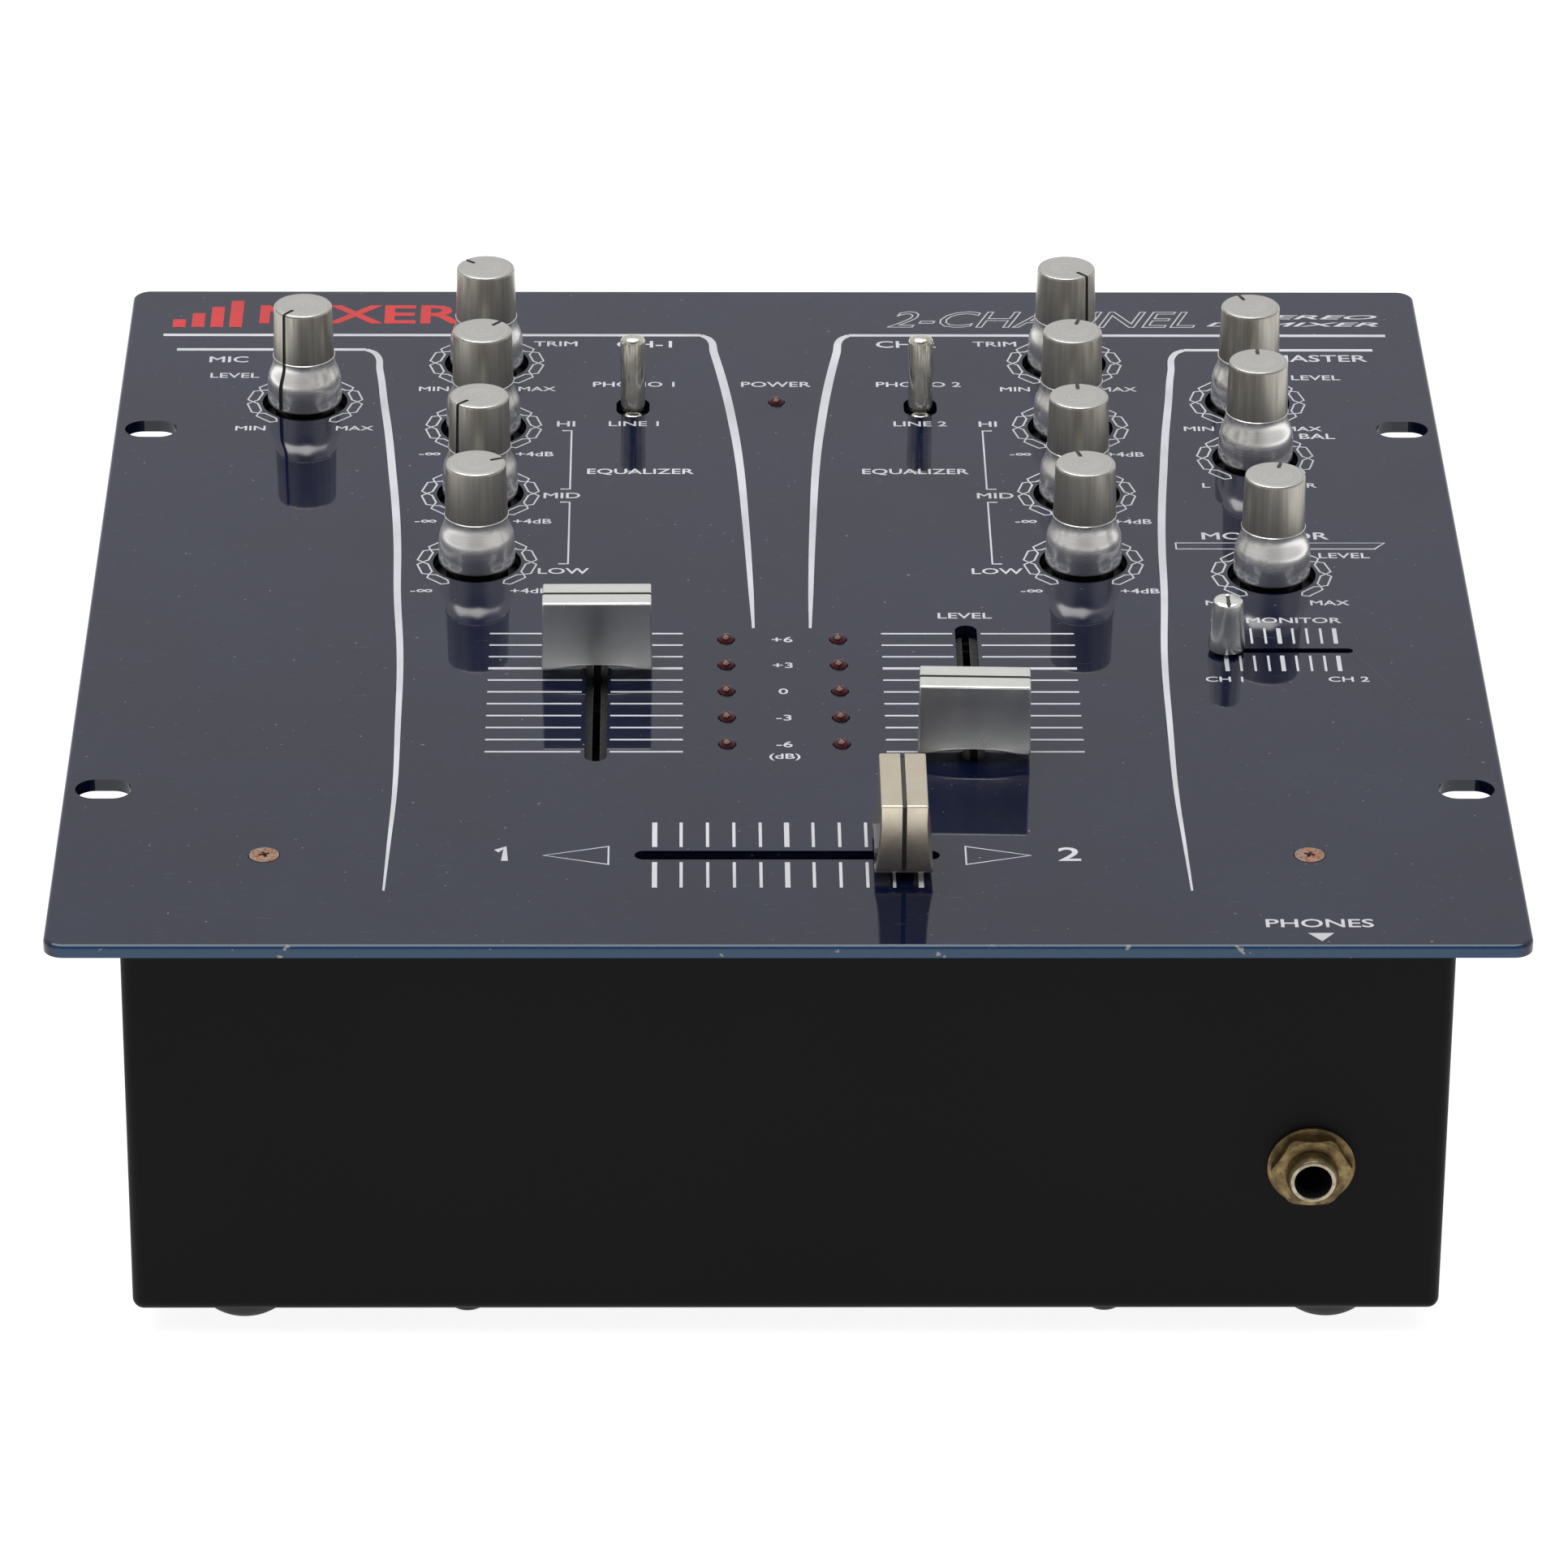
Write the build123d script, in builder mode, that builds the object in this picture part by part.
from build123d import *
from math import cos, radians, sin
import os

# Two-channel DJ mixer: a painted steel faceplate on a folded steel case. Millimetres, +Z up,
# +X to the user's right, +Y away from the user, origin under the middle of the whole mixer.

# ---- driving dimensions ----
PLATE_WIDTH = 254.0          # ten-inch format
PLATE_DEPTH = 266.0
PLATE_THICK = 2.3
PLATE_CORNER = 3.5
CASE_WIDTH = 228.4
CASE_FRONT = 4.0             # depths are counted from the faceplate's front edge
CASE_REAR = 262.0
CASE_HEIGHT = 73.2
SHEET = 1.2                  # case, chassis and bottom sheet steel
BEND = 2.0
TOP_FLANGE = 10.0
BOTTOM_FLANGE = 22.0
FOOT_HEIGHT = 5.0
GAP = 0.2                    # assembly clearance between sheet-metal parts

# ---- heights ----
CASE_TOP = FOOT_HEIGHT + CASE_HEIGHT
PLATE_TOP = CASE_TOP + PLATE_THICK
CHASSIS_TOP = CASE_TOP - SHEET
CHASSIS_UNDER = CHASSIS_TOP - SHEET
BOARD_THICK = 1.6
CONTROL_BODY = 8.0           # pots and switches hang this far under the chassis
CONTROL_BOARD_TOP = CHASSIS_UNDER - CONTROL_BODY - GAP
BOTTOM_PLATE_TOP = FOOT_HEIGHT + 2 * SHEET
STANDOFF = 8.0
MAIN_BOARD_UNDER = BOTTOM_PLATE_TOP + STANDOFF

# ---- jacks and phono sockets ----
JACK_NOSE = 6.0              # bushing in front of its wall
JACK_BORE_R = 3.2            # takes a 6.35 plug
JACK_BORE_LENGTH = 5.9
JACK_BUSHING_R = 4.6
JACK_HEIGHT = 34.8
PHONES_X = 90.7
MIC_JACK_X = -90.7
RCA_PROUD = 8.5
RCA_R = 4.15
RCA_PITCH = 16.0
RCA_CENTRE_X = -18.0
RCA_HEIGHT = 41.0
RCA_ROW_GAP = 18.0

MIDDLE = (CASE_FRONT - JACK_NOSE + CASE_REAR + RCA_PROUD) / 2


def at(depth):
    """Model y of a depth behind the faceplate's front edge."""
    return depth - MIDDLE


# ---- rotary controls ----
CHANNEL_X = 56.3
SIDE_X = 91.0
TRIM_DEPTH = 232.2
KNOB_PITCH = 28.87
KNOB_HOLE_R = 8.2
KNOB_BASE = PLATE_TOP + 0.5
KNOB_TOP = PLATE_TOP + 20.5
SHAFT_R = 3.0
SHAFT_TOP = PLATE_TOP + 13.0

# name: (x, depth, direction of the pointer in degrees, counter-clockwise from +X)
KNOBS = {
    "mic_level": (-SIDE_X, 214.6, 232),
    "ch1_trim": (-CHANNEL_X, TRIM_DEPTH, 139),
    "ch1_hi": (-CHANNEL_X, TRIM_DEPTH - KNOB_PITCH, 50),
    "ch1_mid": (-CHANNEL_X, TRIM_DEPTH - 2 * KNOB_PITCH, 225),
    "ch1_low": (-CHANNEL_X, TRIM_DEPTH - 3 * KNOB_PITCH, 23),
    "ch2_trim": (CHANNEL_X, TRIM_DEPTH, 313),
    "ch2_hi": (CHANNEL_X, TRIM_DEPTH - KNOB_PITCH, 75),
    "ch2_mid": (CHANNEL_X, TRIM_DEPTH - 2 * KNOB_PITCH, 92),
    "ch2_low": (CHANNEL_X, TRIM_DEPTH - 3 * KNOB_PITCH, 106),
    "master_level": (SIDE_X, 214.6, 112),
    "balance": (SIDE_X, 189.9, 90),
    "monitor_level": (SIDE_X, 140.8, 75),
}
KNOB_PLACES = [(x, at(depth)) for x, depth, pointer in KNOBS.values()]

# ---- faders ----
FADER_X = 33.6
FADER_DEPTH = 93.35          # middle of the channel faders' travel
CROSS_DEPTH = 32.25
FADER_TRAVEL = 45.0
MONITOR_X = 90.8
MONITOR_DEPTH = 109.8
MONITOR_TRAVEL = 20.0
CH1_CAP_DEPTH = 103.3        # where each cap stands
CH2_CAP_DEPTH = FADER_DEPTH - FADER_TRAVEL / 2
CROSS_CAP_X = 20.0
MONITOR_CAP_X = MONITOR_X - MONITOR_TRAVEL / 2
FADER_BODY = 11.0            # height under the chassis
MONITOR_BODY = 7.0
BLADE_LONG = 4.0
BLADE_THICK = 1.2
CAP_BASE = PLATE_TOP + 1.9
CAP_TOP = PLATE_TOP + 14.9
CAP_WIDE = 20.0

# ---- input selector levers ----
LEVER_X = 27.7
LEVER_DEPTH = 211.6          # of the pivot
LEVER_HEIGHT = PLATE_TOP - 3.0
LEVER_TILT = 9.0             # leans back, towards the phono position
LEVER_LENGTH = 17.4
LEVER_PLACES = [(-LEVER_X, at(LEVER_DEPTH)), (LEVER_X, at(LEVER_DEPTH))]

# ---- lights ----
METER_X = 10.2
METER_FRONT_DEPTH = 73.3
METER_PITCH = 10.2
METER_STEPS = 5
POWER_LIGHT_DEPTH = 214.5
LIGHT_R = 1.5
LIGHT_PLACES = [(0, at(POWER_LIGHT_DEPTH))]
for step in range(METER_STEPS):
    for side in (-1, 1):
        LIGHT_PLACES.append((side * METER_X, at(METER_FRONT_DEPTH + step * METER_PITCH)))

# ---- fixings ----
RACK_X = 120.0
RACK_FRONT_DEPTH = 56.5
RACK_SPACING = 146.05
RACK_SLOT_LONG = 10.0
RACK_SLOT_WIDE = 7.0
PLATE_SCREW_X = 90.7
PLATE_SCREW_DEPTH = 32.3
SCREW_R = 1.45               # M3
FOOT_INSET = 12.5
FOOT_X = 95.0
SCREW_INSET = 6.6
BOTTOM_SCREW_X = 55.8
SIDE_SCREW_HEIGHT = 70.0

PLATE_SCREW_PLACES = [(-PLATE_SCREW_X, at(PLATE_SCREW_DEPTH)), (PLATE_SCREW_X, at(PLATE_SCREW_DEPTH))]
FOOT_PLACES = [
    (x, at(depth))
    for x in (-FOOT_X, FOOT_X)
    for depth in (CASE_FRONT + FOOT_INSET, CASE_REAR - FOOT_INSET)
]
BOTTOM_SCREW_PLACES = [
    (x, at(depth))
    for x in (-BOTTOM_SCREW_X, BOTTOM_SCREW_X)
    for depth in (CASE_FRONT + SCREW_INSET, CASE_REAR - SCREW_INSET)
]
for depth in (90.0, 176.0):
    for side in (-1, 1):
        BOTTOM_SCREW_PLACES.append((side * (CASE_WIDTH / 2 - SCREW_INSET), at(depth)))
SIDE_SCREW_DEPTHS = (50.0, 216.0)

# ---- rear face ----
INLET_X = 92.0
SWITCH_X = 64.0
GROUND_X = 40.0
REAR_HEIGHT = 41.0
SWITCH_TILT = 10.0


def level(height):
    """Horizontal plane at a height."""
    return Plane.XY.offset(height)


def facing_user(x, depth, height):
    """Vertical plane whose normal points to the user."""
    return Plane(origin=(x, at(depth), height), x_dir=(1, 0, 0), z_dir=(0, -1, 0))


def facing_back(x, depth, height):
    """Vertical plane whose normal points away from the user."""
    return Plane(origin=(x, at(depth), height), x_dir=(1, 0, 0), z_dir=(0, 1, 0))


def side_plane(side, depth, height):
    """Plane on the outside of a side wall, its normal pointing outwards."""
    return Plane(origin=(side * CASE_WIDTH / 2, at(depth), height), x_dir=(0, 1, 0), z_dir=(side, 0, 0))


RCA_PLACES = [
    (RCA_CENTRE_X + (column - 2.5) * RCA_PITCH, RCA_HEIGHT + row * RCA_ROW_GAP)
    for column in range(6)
    for row in (-0.5, 0.5)
]
CASE_MIDDLE = at((CASE_FRONT + CASE_REAR) / 2)
CASE_DEPTH = CASE_REAR - CASE_FRONT
pieces = []


def keep(piece, name):
    """Label a finished piece and put it on the list of pieces to write."""
    piece.part.label = name
    pieces.append(piece)


# ---- faceplate ----
with BuildPart() as faceplate:
    with BuildSketch(level(CASE_TOP)):
        with Locations((0, at(PLATE_DEPTH / 2))):
            RectangleRounded(PLATE_WIDTH, PLATE_DEPTH, PLATE_CORNER)
    extrude(amount=PLATE_THICK)
    fillet(faceplate.faces().sort_by(Axis.Z)[-1].edges(), radius=0.8)
    with BuildSketch(level(CASE_TOP)):
        with Locations(*KNOB_PLACES):
            Circle(KNOB_HOLE_R)
        with Locations(*LIGHT_PLACES):
            Circle(LIGHT_R + 0.15)
        with Locations(*[(x, at(212.3)) for x in (-LEVER_X, LEVER_X)]):
            SlotOverall(8.8, 6.4, rotation=90)
        with Locations(*[(x, at(FADER_DEPTH)) for x in (-FADER_X, FADER_X)]):
            SlotOverall(FADER_TRAVEL + 7.9, 4.0, rotation=90)
        with Locations((0, at(CROSS_DEPTH))):
            SlotOverall(FADER_TRAVEL + 8.0, 3.2)
        with Locations((MONITOR_X, at(MONITOR_DEPTH))):
            SlotOverall(MONITOR_TRAVEL + 6.2, 1.8)
        for rack_depth in (RACK_FRONT_DEPTH, RACK_FRONT_DEPTH + RACK_SPACING):
            with Locations((-RACK_X, at(rack_depth)), (RACK_X, at(rack_depth))):
                SlotOverall(RACK_SLOT_LONG, RACK_SLOT_WIDE)
    extrude(amount=PLATE_THICK, mode=Mode.SUBTRACT)
    with Locations(*[(x, y, PLATE_TOP) for x, y in PLATE_SCREW_PLACES]):
        CounterSinkHole(
            radius=SCREW_R + 0.15, counter_sink_radius=2.8, counter_sink_angle=90, depth=PLATE_THICK
        )
keep(faceplate, "faceplate")

# ---- control chassis: the sheet that carries the controls, folded down at both sides ----
CHASSIS_WIDTH = CASE_WIDTH - 2 * SHEET - 2 * GAP
CHASSIS_FLANGE = 14.0
with BuildPart() as control_chassis:
    with BuildSketch(level(CHASSIS_UNDER - CHASSIS_FLANGE)):
        with Locations((0, CASE_MIDDLE)):
            RectangleRounded(CHASSIS_WIDTH, CASE_DEPTH - 2 * SHEET - 2 * GAP, BEND - SHEET)
    extrude(amount=CHASSIS_FLANGE + SHEET)
    with BuildSketch(level(CHASSIS_UNDER - CHASSIS_FLANGE)):
        with Locations((0, CASE_MIDDLE)):
            Rectangle(CHASSIS_WIDTH - 2 * SHEET, CASE_DEPTH)
    extrude(amount=CHASSIS_FLANGE, mode=Mode.SUBTRACT)
    with BuildSketch(level(CHASSIS_UNDER)):
        with Locations(*KNOB_PLACES):
            Circle(3.6)
        with Locations(*LIGHT_PLACES):
            Circle(2.1)
        with Locations(*LEVER_PLACES):
            Circle(4.2)
        with Locations(*PLATE_SCREW_PLACES):
            Circle(SCREW_R + 0.05)
        with Locations(*[(x, at(FADER_DEPTH)) for x in (-FADER_X, FADER_X)]):
            Rectangle(3.2, FADER_TRAVEL + 6)
        with Locations((0, at(CROSS_DEPTH))):
            Rectangle(FADER_TRAVEL + 6, 3.2)
        with Locations((MONITOR_X, at(MONITOR_DEPTH))):
            Rectangle(MONITOR_TRAVEL + 6, 2.4)
    extrude(amount=SHEET, mode=Mode.SUBTRACT)
    for side in (-1, 1):
        for depth in SIDE_SCREW_DEPTHS:
            with BuildSketch(side_plane(side, depth, SIDE_SCREW_HEIGHT)):
                Circle(SCREW_R + 0.05)
            extrude(amount=-4 * SHEET, mode=Mode.SUBTRACT)
keep(control_chassis, "control_chassis")

# ---- case: four walls folded from one sheet, with a flange round the top and the bottom ----
with BuildPart() as case_wrap:
    with BuildSketch(level(FOOT_HEIGHT)):
        with Locations((0, CASE_MIDDLE)):
            Rectangle(CASE_WIDTH, CASE_DEPTH)
    extrude(amount=CASE_HEIGHT)
    fillet(case_wrap.edges().filter_by(Axis.Z) + case_wrap.edges().group_by(Axis.Z)[0], radius=BEND)
    with BuildSketch(level(FOOT_HEIGHT + SHEET)):
        with Locations((0, CASE_MIDDLE)):
            RectangleRounded(CASE_WIDTH - 2 * SHEET, CASE_DEPTH - 2 * SHEET, BEND - SHEET)
    extrude(amount=CASE_HEIGHT - 2 * SHEET, mode=Mode.SUBTRACT)
    with BuildSketch(level(CASE_TOP)):
        with Locations((0, CASE_MIDDLE)):
            Rectangle(CASE_WIDTH - 2 * TOP_FLANGE, CASE_DEPTH - 2 * TOP_FLANGE)
    extrude(amount=-SHEET, mode=Mode.SUBTRACT)
    with BuildSketch(level(FOOT_HEIGHT)):
        with Locations((0, CASE_MIDDLE)):
            Rectangle(CASE_WIDTH - 2 * BOTTOM_FLANGE, CASE_DEPTH - 2 * BOTTOM_FLANGE)
        with Locations(*BOTTOM_SCREW_PLACES):
            Circle(SCREW_R + 0.15)
    extrude(amount=SHEET, mode=Mode.SUBTRACT)
    with BuildSketch(facing_user(0, CASE_FRONT, 0)):
        with Locations((PHONES_X, JACK_HEIGHT)):
            Circle(JACK_BUSHING_R + 0.15)
    extrude(amount=-SHEET, mode=Mode.SUBTRACT)
    with BuildSketch(facing_user(0, CASE_REAR - SHEET, 0)):
        with Locations((MIC_JACK_X, JACK_HEIGHT)):
            Circle(JACK_BUSHING_R + 0.15)
        with Locations(*RCA_PLACES):
            Circle(5.2)
        with Locations((GROUND_X, REAR_HEIGHT)):
            Circle(2.2)
        with Locations((SWITCH_X, REAR_HEIGHT)):
            Rectangle(15.0, 22.4)
        with Locations((INLET_X, REAR_HEIGHT)):
            Circle(5.2)
    extrude(amount=-SHEET, mode=Mode.SUBTRACT)
    for side in (-1, 1):
        for depth in SIDE_SCREW_DEPTHS:
            with BuildSketch(side_plane(side, depth, SIDE_SCREW_HEIGHT)):
                Circle(SCREW_R + 0.15)
            extrude(amount=-SHEET, mode=Mode.SUBTRACT)
keep(case_wrap, "case_wrap")

# ---- bottom plate: rests on the case's bottom flange ----
with BuildPart() as bottom_plate:
    with BuildSketch(level(FOOT_HEIGHT + SHEET)):
        with Locations((0, CASE_MIDDLE)):
            Rectangle(CASE_WIDTH - 2 * SHEET - 2, CASE_DEPTH - 2 * SHEET - 2)
        with Locations(*BOTTOM_SCREW_PLACES):
            Circle(SCREW_R + 0.02, mode=Mode.SUBTRACT)
    extrude(amount=SHEET)
keep(bottom_plate, "bottom_plate")

# ---- feet: moulded rubber domes ----
with BuildPart() as feet:
    for x, y in FOOT_PLACES:
        with BuildSketch(Plane(origin=(x, y, 0), x_dir=(1, 0, 0), z_dir=(0, -1, 0))):
            with BuildLine():
                Polyline((5.75, 0), (0, 0), (0, FOOT_HEIGHT), (8.2, FOOT_HEIGHT), (8.2, FOOT_HEIGHT - 0.8))
                ThreePointArc((8.2, FOOT_HEIGHT - 0.8), (7.45, 1.6), (5.75, 0))
            make_face()
        revolve(axis=Axis((x, y, 0), (0, 0, 1)))
keep(feet, "feet")

# ---- screws ----
with BuildPart() as faceplate_screws:
    for x, y in PLATE_SCREW_PLACES:
        with BuildSketch(level(CHASSIS_UNDER - 2)):
            with Locations((x, y)):
                Circle(SCREW_R)
        extrude(amount=PLATE_TOP - CHASSIS_UNDER + 2)
        with BuildSketch(Plane(origin=(x, y, PLATE_TOP), x_dir=(1, 0, 0), z_dir=(0, -1, 0))):
            Polygon((0, 0), (2.65, 0), (SCREW_R, -1.2), (0, -1.2), align=None)
        revolve(axis=Axis((x, y, 0), (0, 0, 1)))
    with BuildSketch(level(PLATE_TOP)):
        with Locations(*PLATE_SCREW_PLACES):
            Rectangle(3.2, 0.7)
            Rectangle(0.7, 3.2)
    extrude(amount=-0.9, mode=Mode.SUBTRACT)
keep(faceplate_screws, "faceplate_screws")

PAN_R = 3.5
PAN_HEIGHT = 2.4
screw_seats = [Plane(origin=(x, y, FOOT_HEIGHT), z_dir=(0, 0, -1)) for x, y in BOTTOM_SCREW_PLACES]
for side in (-1, 1):
    for depth in SIDE_SCREW_DEPTHS:
        screw_seats.append(side_plane(side, depth, SIDE_SCREW_HEIGHT))
with BuildPart() as case_screws:
    for seat in screw_seats:
        with BuildSketch(seat):
            Circle(PAN_R)
        extrude(amount=PAN_HEIGHT)
        with BuildSketch(seat):
            Circle(SCREW_R)
        extrude(amount=-4.5)
    heads = case_screws.edges().filter_by(GeomType.CIRCLE).filter_by(lambda edge: edge.radius > 3.4)
    crowns = [
        edge
        for edge in heads
        if abs(edge.center().Z - (FOOT_HEIGHT - PAN_HEIGHT)) < 0.01
        or abs(abs(edge.center().X) - (CASE_WIDTH / 2 + PAN_HEIGHT)) < 0.01
    ]
    fillet(crowns, radius=1.5)
    for seat in screw_seats:
        with BuildSketch(seat.offset(PAN_HEIGHT)):
            Rectangle(3.6, 0.8)
            Rectangle(0.8, 3.6)
        extrude(amount=-1.3, mode=Mode.SUBTRACT)
keep(case_screws, "case_screws")

# ---- potentiometers: body with threaded bushing, nut, shaft with its wiper disc ----
BUSHING_R = 3.5
BUSHING_TOP = PLATE_TOP - 0.5
WIPER_UNDER = CHASSIS_UNDER - 5.2
with BuildPart() as pot_bodies:
    with BuildSketch(level(CHASSIS_UNDER - CONTROL_BODY)):
        with Locations(*KNOB_PLACES):
            Circle(8.3)
    extrude(amount=CONTROL_BODY)
    with BuildSketch(level(CHASSIS_UNDER)):
        with Locations(*KNOB_PLACES):
            Circle(BUSHING_R)
    extrude(amount=BUSHING_TOP - CHASSIS_UNDER)
    with BuildSketch(level(WIPER_UNDER - 1.2)):
        with Locations(*KNOB_PLACES):
            Circle(6.6)
    extrude(amount=4.0, mode=Mode.SUBTRACT)
    with BuildSketch(level(WIPER_UNDER)):
        with Locations(*KNOB_PLACES):
            Circle(SHAFT_R + 0.05)
    extrude(amount=BUSHING_TOP - WIPER_UNDER, mode=Mode.SUBTRACT)
keep(pot_bodies, "pot_bodies")

with BuildPart() as pot_nuts:
    with BuildSketch(level(CHASSIS_TOP)):
        with Locations(*KNOB_PLACES):
            RegularPolygon(5.0, 6, major_radius=False)
            Circle(BUSHING_R + 0.02, mode=Mode.SUBTRACT)
    extrude(amount=2.0)
keep(pot_nuts, "pot_nuts")


def make_shaft(name, x, depth):
    """Round pot shaft with the wiper disc that turns inside the body."""
    with BuildPart() as shaft:
        with BuildSketch(Plane(origin=(x, at(depth), WIPER_UNDER - 0.5))):
            Circle(SHAFT_R)
        extrude(amount=SHAFT_TOP - WIPER_UNDER + 0.5)
        with BuildSketch(Plane(origin=(x, at(depth), WIPER_UNDER))):
            Circle(6.2)
        extrude(amount=1.6)
        chamfer(shaft.faces().sort_by(Axis.Z)[-1].edges(), length=0.5)
    keep(shaft, "shaft_" + name)


def make_knob(name, x, depth, pointer):
    """Turned metal knob: bell-shaped skirt, tapered grip and an engraved pointer line."""
    axis_plane = Plane(origin=(x, at(depth), KNOB_BASE), x_dir=(1, 0, 0), z_dir=(0, -1, 0))
    top = KNOB_TOP - KNOB_BASE
    with BuildPart() as knob:
        with BuildSketch(axis_plane):
            with BuildLine():
                Polyline((0, top), (0, 0), (7.2, 0), (7.2, 4.9))
                ThreePointArc((7.2, 4.9), (6.75, 7.2), (5.7, 9.1))
                Polyline((5.7, 9.1), (5.5, 9.5), (5.3, top), (0, top))
            make_face()
        revolve(axis=Axis((x, at(depth), 0), (0, 0, 1)))
        fillet(knob.edges().group_by(Axis.Z)[-1], radius=0.3)
        with BuildSketch(Plane(origin=(x, at(depth), KNOB_BASE))):
            Circle(6.0)
            Circle(4.2, mode=Mode.SUBTRACT)
        extrude(amount=4.0, mode=Mode.SUBTRACT)
        with BuildSketch(Plane(origin=(x, at(depth), KNOB_BASE))):
            Circle(SHAFT_R + 0.02)
        extrude(amount=SHAFT_TOP - KNOB_BASE + 0.3, mode=Mode.SUBTRACT)
        turned = (cos(radians(pointer)), sin(radians(pointer)), 0)
        with BuildSketch(Plane(origin=(x, at(depth), KNOB_TOP), x_dir=turned)):
            with Locations((4.5, 0)):
                Rectangle(3.4, 0.6)
        extrude(amount=-0.3, mode=Mode.SUBTRACT)
        with BuildSketch(Plane(origin=(x, at(depth), KNOB_TOP), x_dir=turned)):
            with Locations((5.6, 0)):
                Rectangle(1.0, 0.6)
        extrude(amount=-9.0, mode=Mode.SUBTRACT)
    keep(knob, "knob_" + name)


for knob_name, (knob_x, knob_depth, knob_pointer) in KNOBS.items():
    make_shaft(knob_name, knob_x, knob_depth)
    make_knob(knob_name, knob_x, knob_depth, knob_pointer)

# ---- slide potentiometers: channel faders run along Y, the crossfader and monitor fader along X ----
SLIDE_FLOOR = SHEET          # floor under the carriage
FADER_SPOTS = [
    (Plane(origin=(-FADER_X, at(FADER_DEPTH), CHASSIS_UNDER - FADER_BODY), x_dir=(0, 1, 0))),
    (Plane(origin=(FADER_X, at(FADER_DEPTH), CHASSIS_UNDER - FADER_BODY), x_dir=(0, 1, 0))),
    (Plane(origin=(0, at(CROSS_DEPTH), CHASSIS_UNDER - FADER_BODY), x_dir=(1, 0, 0))),
]
MONITOR_SPOT = Plane(origin=(MONITOR_X, at(MONITOR_DEPTH), CHASSIS_UNDER - MONITOR_BODY), x_dir=(1, 0, 0))
with BuildPart() as fader_bodies:
    for spot in FADER_SPOTS:
        with BuildSketch(spot):
            Rectangle(FADER_TRAVEL + 21, 13.0)
        extrude(amount=FADER_BODY)
        with BuildSketch(spot.offset(SLIDE_FLOOR)):
            Rectangle(FADER_TRAVEL + 12, 10.4)
        extrude(amount=8.4, mode=Mode.SUBTRACT)
        with BuildSketch(spot.offset(FADER_BODY)):
            Rectangle(FADER_TRAVEL + BLADE_LONG + 1, 2.4)
        extrude(amount=-4.0, mode=Mode.SUBTRACT)
    with BuildSketch(MONITOR_SPOT):
        Rectangle(MONITOR_TRAVEL + 14, 8.0)
    extrude(amount=MONITOR_BODY)
    with BuildSketch(MONITOR_SPOT.offset(SLIDE_FLOOR)):
        Rectangle(MONITOR_TRAVEL + 6, 5.8)
    extrude(amount=4.6, mode=Mode.SUBTRACT)
    with BuildSketch(MONITOR_SPOT.offset(MONITOR_BODY)):
        Rectangle(MONITOR_TRAVEL + BLADE_LONG + 0.6, 2.0)
    extrude(amount=-3.0, mode=Mode.SUBTRACT)
keep(fader_bodies, "fader_bodies")


def make_stem(name, x, depth, travel, body_height, carriage, top):
    """Fader carriage with the flat blade that carries the cap."""
    base = Plane(origin=(x, at(depth), CHASSIS_UNDER - body_height + SLIDE_FLOOR + 0.3), x_dir=travel)
    long, wide, high = carriage
    with BuildPart() as stem:
        with BuildSketch(base):
            Rectangle(long, wide)
        extrude(amount=high)
        with BuildSketch(base):
            Rectangle(BLADE_LONG, BLADE_THICK)
        extrude(amount=top - base.origin.Z)
    keep(stem, "stem_" + name)


def make_cap(name, x, depth, travel):
    """Wide fader cap, narrower at the top, hollow underneath, with a groove along its top."""
    base = Plane(origin=(x, at(depth), CAP_BASE), x_dir=travel)
    profile = Plane(origin=base.origin, x_dir=travel, z_dir=base.y_dir * -1)
    height = CAP_TOP - CAP_BASE
    with BuildPart() as cap:
        with BuildSketch(profile):
            Polygon((-5.15, 0), (5.15, 0), (4.1, height), (-4.1, height), align=None)
        extrude(amount=CAP_WIDE / 2, both=True)
        fillet(cap.edges().filter_by(lambda edge: edge.center().Z > CAP_BASE + 1), radius=0.5)
        with BuildSketch(base):
            Rectangle(7.2, CAP_WIDE - 3)
            Rectangle(6.0, 4.0, mode=Mode.SUBTRACT)
        extrude(amount=9.0, mode=Mode.SUBTRACT)
        with BuildSketch(base):
            Rectangle(BLADE_LONG + 0.04, BLADE_THICK + 0.04)
        extrude(amount=8.2, mode=Mode.SUBTRACT)
        with BuildSketch(base.offset(height)):
            Rectangle(0.7, CAP_WIDE)
        extrude(amount=-0.5, mode=Mode.SUBTRACT)
    keep(cap, "cap_" + name)


ALONG_Y = (0, 1, 0)
ALONG_X = (1, 0, 0)
BIG_CARRIAGE = (10.0, 9.6, 7.6)
SMALL_CARRIAGE = (5.0, 5.2, 4.0)
for fader, fader_x, fader_depth, run in (
    ("ch1_fader", -FADER_X, CH1_CAP_DEPTH, ALONG_Y),
    ("ch2_fader", FADER_X, CH2_CAP_DEPTH, ALONG_Y),
    ("crossfader", CROSS_CAP_X, CROSS_DEPTH, ALONG_X),
):
    make_stem(fader, fader_x, fader_depth, run, FADER_BODY, BIG_CARRIAGE, CAP_BASE + 8.0)
    make_cap(fader, fader_x, fader_depth, run)

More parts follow.
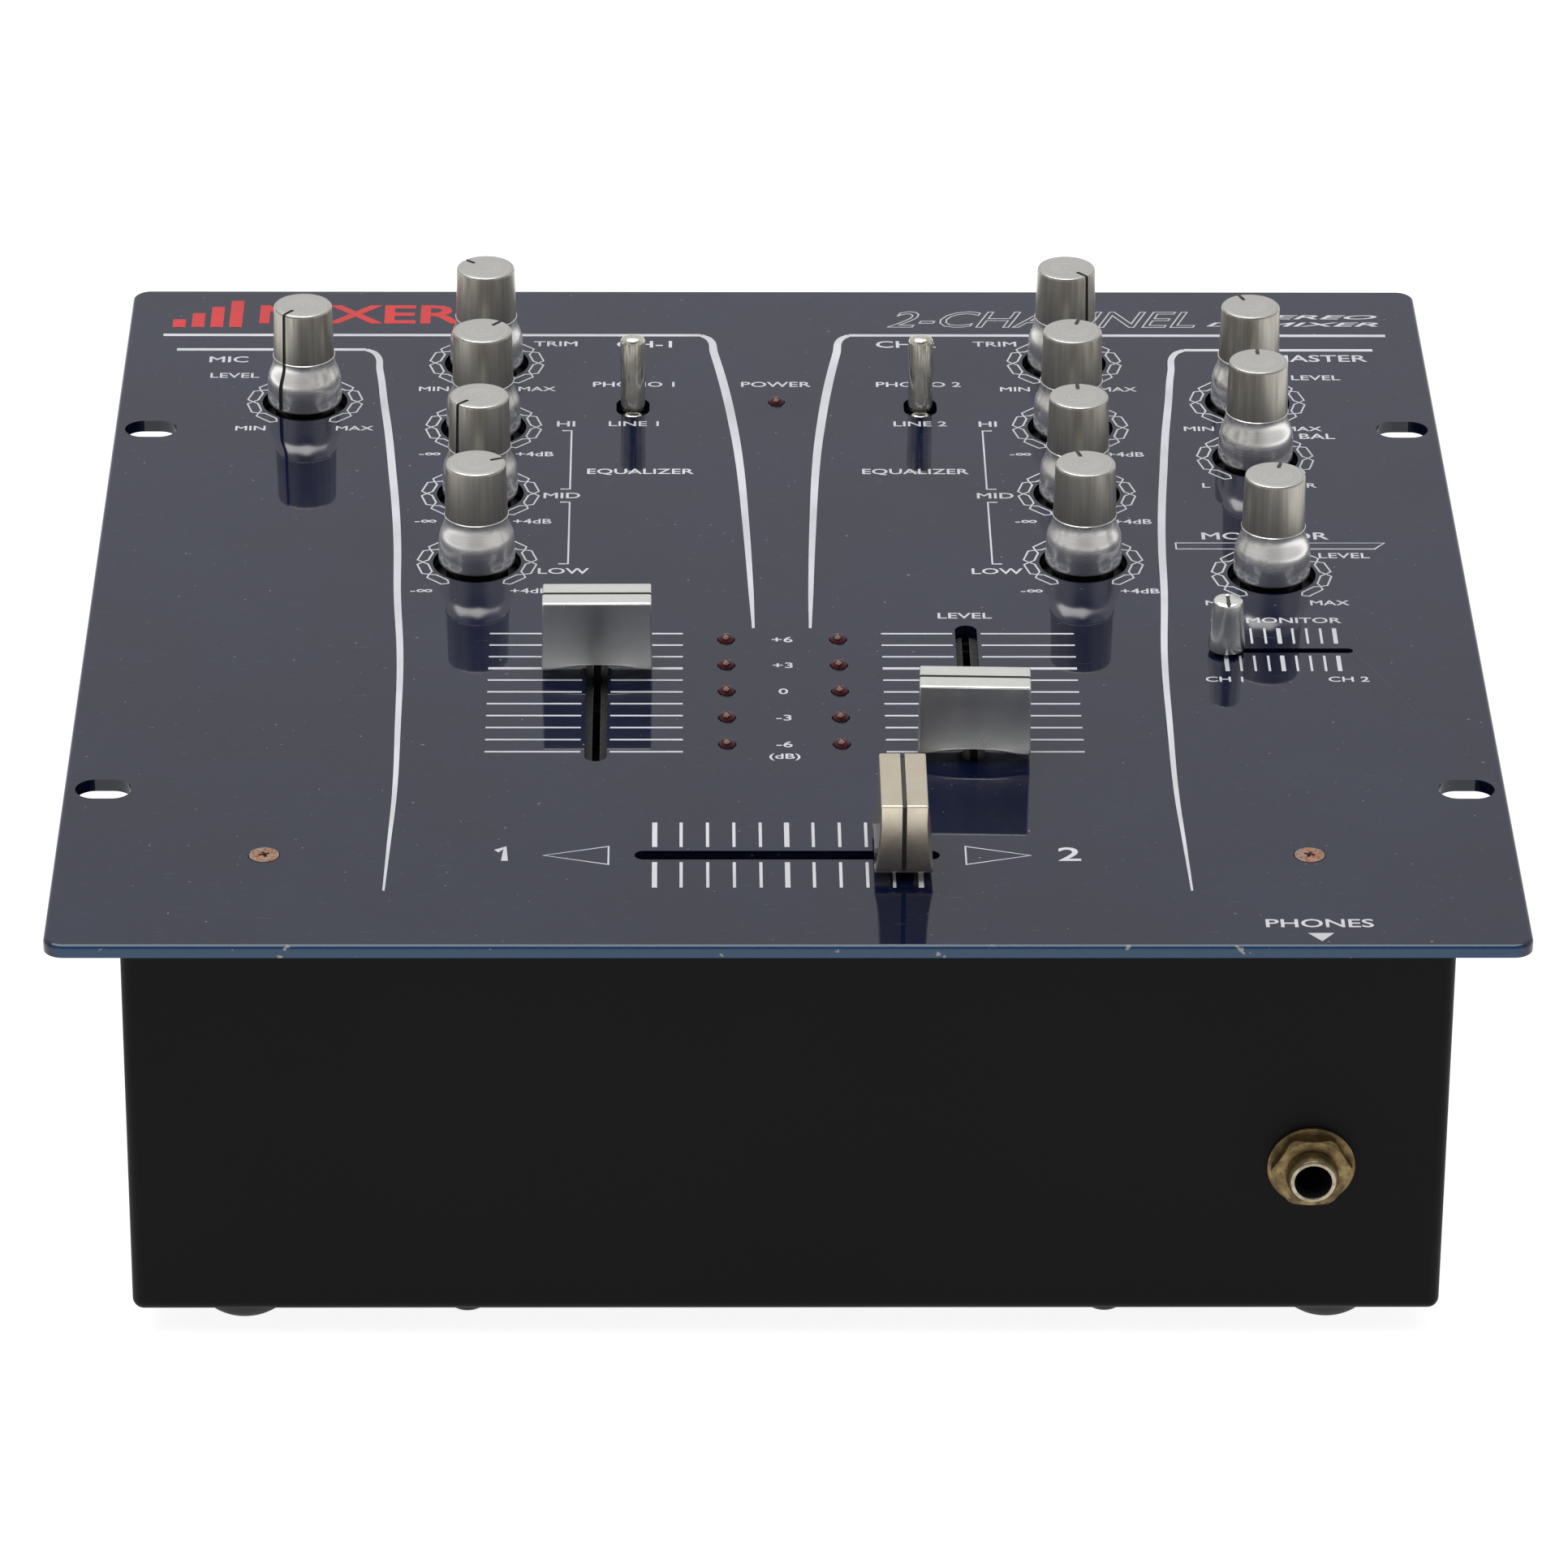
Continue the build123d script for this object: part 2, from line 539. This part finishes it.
# ---- monitor fader: small round knob on its stem ----
make_stem("monitor_fader", MONITOR_CAP_X, MONITOR_DEPTH, ALONG_X, MONITOR_BODY, SMALL_CARRIAGE, PLATE_TOP + 8)
with BuildPart() as cap_monitor_fader:
    with BuildSketch(Plane(origin=(MONITOR_CAP_X, at(MONITOR_DEPTH), PLATE_TOP + 0.6))):
        Circle(3.4)
    with BuildSketch(Plane(origin=(MONITOR_CAP_X, at(MONITOR_DEPTH), PLATE_TOP + 10.5))):
        Circle(2.7)
    loft()
    fillet(cap_monitor_fader.edges().group_by(Axis.Z)[-1], radius=0.4)
    with BuildSketch(Plane(origin=(MONITOR_CAP_X, at(MONITOR_DEPTH), PLATE_TOP + 0.6))):
        Rectangle(BLADE_LONG + 0.04, BLADE_THICK + 0.04)
    extrude(amount=7.6, mode=Mode.SUBTRACT)
    with BuildSketch(Plane(origin=(MONITOR_CAP_X, at(MONITOR_DEPTH), PLATE_TOP + 10.5))):
        Rectangle(0.7, 8)
    extrude(amount=-0.5, mode=Mode.SUBTRACT)
keep(cap_monitor_fader, "cap_monitor_fader")

# ---- input selectors ----
with BuildPart() as input_switch_bodies:
    with BuildSketch(level(CHASSIS_UNDER - CONTROL_BODY)):
        with Locations(*LEVER_PLACES):
            Rectangle(9.0, 13.0)
    extrude(amount=CONTROL_BODY)
    with BuildSketch(level(CHASSIS_UNDER)):
        with Locations(*LEVER_PLACES):
            Circle(4.0)
    extrude(amount=2.1)
    with BuildSketch(level(CHASSIS_UNDER - 6)):
        with Locations(*LEVER_PLACES):
            Circle(3.0)
    extrude(amount=6 + 2.1, mode=Mode.SUBTRACT)
keep(input_switch_bodies, "input_switch_bodies")


def make_lever(name, x):
    """Bat lever: ball pivot, slim neck and a straight round grip with a domed tip."""
    lean = (0, sin(radians(LEVER_TILT)), cos(radians(LEVER_TILT)))
    pivot = Plane(origin=(x, at(LEVER_DEPTH), LEVER_HEIGHT), x_dir=(1, 0, 0), z_dir=lean)
    section = Plane(origin=pivot.origin, x_dir=(1, 0, 0), z_dir=pivot.y_dir * -1)
    with BuildPart() as lever:
        with BuildSketch(section):
            with BuildLine():
                Polyline((0, -5.5), (1.0, -5.5), (1.0, -2.508))
                ThreePointArc((1.0, -2.508), (2.7, 0), (1.5, 2.245))
                Polyline((1.5, 2.245), (1.5, 4.2), (2.35, 7.0), (2.45, LEVER_LENGTH - 0.9))
                ThreePointArc((2.45, LEVER_LENGTH - 0.9), (2.1, LEVER_LENGTH - 0.2), (1.4, LEVER_LENGTH))
                Polyline((1.4, LEVER_LENGTH), (0, LEVER_LENGTH), (0, -5.5))
            make_face()
        revolve(axis=Axis(pivot.origin, pivot.z_dir))
    keep(lever, name)


make_lever("lever_ch1_input", -LEVER_X)
make_lever("lever_ch2_input", LEVER_X)

# ---- lights ----
LIGHT_BASE = CHASSIS_UNDER - 0.8
with BuildPart() as leds:
    with BuildSketch(level(LIGHT_BASE)):
        with Locations(*LIGHT_PLACES):
            Circle(1.9)
    extrude(amount=1.0)
    with BuildSketch(level(LIGHT_BASE)):
        with Locations(*LIGHT_PLACES):
            Circle(LIGHT_R)
    extrude(amount=PLATE_TOP + 1.2 - LIGHT_BASE)
    fillet(leds.edges().group_by(Axis.Z)[-1], radius=LIGHT_R - 0.1)
    with BuildSketch(level(CONTROL_BOARD_TOP)):
        for x, y in LIGHT_PLACES:
            with Locations((x - 1.27, y), (x + 1.27, y)):
                Rectangle(0.5, 0.5)
    extrude(amount=LIGHT_BASE - CONTROL_BOARD_TOP)
keep(leds, "leds")

# ---- boards ----
with BuildPart() as control_board:
    with BuildSketch(level(CONTROL_BOARD_TOP)):
        with Locations((0, at(151))):
            Rectangle(206, 190)
        with Locations(*[(x, at(FADER_DEPTH)) for x in (-FADER_X, FADER_X)]):
            Rectangle(14.0, FADER_TRAVEL + 22, mode=Mode.SUBTRACT)
    extrude(amount=-BOARD_THICK)
    with BuildSketch(level(CONTROL_BOARD_TOP - BOARD_THICK)):
        with Locations((0, at(170))):
            with GridLocations(34, 22, 5, 4):
                Rectangle(10, 6)
    extrude(amount=-2.5)
keep(control_board, "control_board")

MAIN_BOARD_DEPTH = 185.0
MAIN_BOARD_SIZE = (150.0, 110.0)
with BuildPart() as main_board:
    with BuildSketch(level(MAIN_BOARD_UNDER)):
        with Locations((0, at(MAIN_BOARD_DEPTH))):
            Rectangle(*MAIN_BOARD_SIZE)
    extrude(amount=BOARD_THICK)
    with BuildSketch(level(MAIN_BOARD_UNDER + BOARD_THICK)):
        with Locations((-10, at(MAIN_BOARD_DEPTH))):
            with GridLocations(24, 26, 5, 3):
                Rectangle(18, 8)
    extrude(amount=3.5)
    with BuildSketch(level(MAIN_BOARD_UNDER + BOARD_THICK)):
        with Locations((62, at(MAIN_BOARD_DEPTH - 20)), (62, at(MAIN_BOARD_DEPTH)), (62, at(MAIN_BOARD_DEPTH + 20))):
            Circle(8.0)
    extrude(amount=25.0)
keep(main_board, "main_board")

with BuildPart() as board_standoffs:
    with BuildSketch(level(BOTTOM_PLATE_TOP)):
        with Locations((0, at(MAIN_BOARD_DEPTH))):
            with GridLocations(MAIN_BOARD_SIZE[0] - 12, MAIN_BOARD_SIZE[1] - 12, 2, 2):
                RegularPolygon(3.2, 6)
    extrude(amount=STANDOFF)
keep(board_standoffs, "board_standoffs")


# ---- 6.35 mm jacks with flanged nuts ----
def make_jack(name, wall):
    """Jack socket behind a wall, its threaded bushing passing out through it."""
    behind = SHEET + GAP
    with BuildPart() as jack:
        with BuildSketch(wall.offset(-behind)):
            Rectangle(15.0, 12.0)
        extrude(amount=-24.0)
        with BuildSketch(wall.offset(-behind)):
            Circle(JACK_BUSHING_R)
        extrude(amount=behind + JACK_NOSE)
        nose_edges = jack.edges().filter_by(GeomType.CIRCLE)
        chamfer(nose_edges.sort_by(SortBy.DISTANCE)[-1], length=0.5)
        with BuildSketch(wall.offset(JACK_NOSE)):
            Circle(JACK_BORE_R)
        extrude(amount=-JACK_BORE_LENGTH, mode=Mode.SUBTRACT)
        with BuildSketch(wall.offset(JACK_NOSE - JACK_BORE_LENGTH)):
            Circle(JACK_BORE_R + 0.4)
        extrude(amount=-24.0, mode=Mode.SUBTRACT)
    keep(jack, name)


FRONT_WALL = facing_user(PHONES_X, CASE_FRONT, JACK_HEIGHT)
REAR_WALL = facing_back(MIC_JACK_X, CASE_REAR, JACK_HEIGHT)
make_jack("phones_jack", FRONT_WALL)
make_jack("mic_jack", REAR_WALL)

with BuildPart() as jack_nuts:
    for wall in (FRONT_WALL, REAR_WALL):
        with BuildSketch(wall):
            Circle(7.6)
            Circle(JACK_BUSHING_R + 0.02, mode=Mode.SUBTRACT)
        extrude(amount=0.8)
        with BuildSketch(wall.offset(0.8)):
            RegularPolygon(6.0, 6, major_radius=False)
            Circle(JACK_BUSHING_R + 0.02, mode=Mode.SUBTRACT)
        extrude(amount=2.2)
keep(jack_nuts, "jack_nuts")

# ---- phono sockets: one moulded block behind the wall, metal shells and plastic inserts ----
BLOCK_DEPTH = 12.0
COLLAR_PROUD = 0.9
SHELL_ROOT_R = 3.8           # the shell is slimmer where it sits in the block
REAR_FACE = facing_user(0, CASE_REAR, 0)
with BuildPart() as rca_jack_block:
    with BuildSketch(REAR_FACE.offset(SHEET + GAP)):
        with Locations((RCA_CENTRE_X, RCA_HEIGHT)):
            Rectangle(6 * RCA_PITCH - 1, 2 * RCA_ROW_GAP - 2)
    extrude(amount=BLOCK_DEPTH)
    with BuildSketch(REAR_FACE.offset(-COLLAR_PROUD)):
        with Locations(*RCA_PLACES):
            Circle(5.0)
    extrude(amount=SHEET + GAP + COLLAR_PROUD)
    with BuildSketch(REAR_FACE.offset(-COLLAR_PROUD)):
        with Locations(*RCA_PLACES):
            Circle(SHELL_ROOT_R + 0.02)
    extrude(amount=8.0, mode=Mode.SUBTRACT)
keep(rca_jack_block, "rca_jack_block")

SHELL_WALL = 0.85
with BuildPart() as rca_shells:
    with BuildSketch(REAR_FACE.offset(-RCA_PROUD)):
        with Locations(*RCA_PLACES):
            Circle(RCA_R)
    extrude(amount=RCA_PROUD - COLLAR_PROUD)
    with BuildSketch(REAR_FACE.offset(-COLLAR_PROUD)):
        with Locations(*RCA_PLACES):
            Circle(SHELL_ROOT_R)
    extrude(amount=6.0)
    with BuildSketch(REAR_FACE.offset(-RCA_PROUD)):
        with Locations(*RCA_PLACES):
            Circle(RCA_R - SHELL_WALL)
    extrude(amount=RCA_PROUD + 6.0, mode=Mode.SUBTRACT)
keep(rca_shells, "rca_shells")

with BuildPart() as rca_inserts:
    with BuildSketch(REAR_FACE.offset(-RCA_PROUD + 0.8)):
        with Locations(*RCA_PLACES):
            Circle(RCA_R - SHELL_WALL - 0.02)
    extrude(amount=RCA_PROUD + 3.0)
    with BuildSketch(REAR_FACE.offset(-RCA_PROUD + 0.8)):
        with Locations(*RCA_PLACES):
            Circle(1.65)
    extrude(amount=9.0, mode=Mode.SUBTRACT)
keep(rca_inserts, "rca_inserts")

# ---- power inlet: low-voltage barrel socket with its centre pin ----
INLET_WALL = facing_back(INLET_X, CASE_REAR, REAR_HEIGHT)
with BuildPart() as power_inlet:
    with BuildSketch(INLET_WALL):
        Circle(6.2)
    extrude(amount=1.6)
    with BuildSketch(INLET_WALL):
        Circle(5.0)
    extrude(amount=-14.0)
    with BuildSketch(INLET_WALL.offset(1.6)):
        Circle(2.85)
    extrude(amount=-11.0, mode=Mode.SUBTRACT)
    with BuildSketch(INLET_WALL.offset(-10.0)):
        Circle(1.05)
    extrude(amount=10.4)
keep(power_inlet, "power_inlet")

# ---- power switch: snap-in frame and rocker ----
SWITCH_WALL = facing_back(SWITCH_X, CASE_REAR, REAR_HEIGHT)
with BuildPart() as power_switch_frame:
    with BuildSketch(SWITCH_WALL):
        Rectangle(17.4, 25.0)
    extrude(amount=2.0)
    with BuildSketch(SWITCH_WALL):
        Rectangle(14.6, 22.0)
    extrude(amount=-16.0)
    with BuildSketch(SWITCH_WALL.offset(2.0)):
        Rectangle(13.2, 20.2)
    extrude(amount=-14.0, mode=Mode.SUBTRACT)
keep(power_switch_frame, "power_switch_frame")

ROCKER_R = 9.7
with BuildPart() as power_rocker:
    outwards = (0, cos(radians(SWITCH_TILT)), sin(radians(SWITCH_TILT)))
    with BuildSketch(Plane(origin=SWITCH_WALL.origin, x_dir=outwards, z_dir=(1, 0, 0))):
        Circle(ROCKER_R)
        Polygon((1.8, 0), (4.0, -12), (12, -12), (12, 12), (4.0, 12), align=None, mode=Mode.SUBTRACT)
        with Locations((-13.5, 0)):
            Rectangle(20, 24, mode=Mode.SUBTRACT)
    extrude(amount=6.2, both=True)
keep(power_rocker, "power_rocker")

# ---- ground terminal: threaded post and thumb nut ----
GROUND_WALL = facing_back(GROUND_X, CASE_REAR, REAR_HEIGHT)
GROUND_R = 2.0
with BuildPart() as ground_post:
    with BuildSketch(GROUND_WALL.offset(-5.0)):
        Circle(GROUND_R)
    extrude(amount=5.0 + 8.3)
    with BuildSketch(GROUND_WALL):
        Circle(4.5)
    extrude(amount=0.8)
    with BuildSketch(GROUND_WALL.offset(-SHEET)):
        RegularPolygon(3.5, 6, major_radius=False)
    extrude(amount=-2.4)
keep(ground_post, "ground_post")

with BuildPart() as ground_nut:
    with BuildSketch(GROUND_WALL.offset(1.0)):
        Circle(4.6)
        with PolarLocations(4.75, 24):
            Circle(0.35, mode=Mode.SUBTRACT)
    extrude(amount=5.8)
    with BuildSketch(GROUND_WALL.offset(1.0)):
        Circle(GROUND_R + 0.05)
    extrude(amount=5.8, mode=Mode.SUBTRACT)
keep(ground_nut, "ground_nut")

# ---- one file for each piece ----
os.makedirs("parts", exist_ok=True)
for piece in pieces:
    export_step(piece.part, "parts/" + piece.part.label + ".step")
    print(piece.part.label, "solids:", len(piece.part.solids()))
print("pieces:", len(pieces))
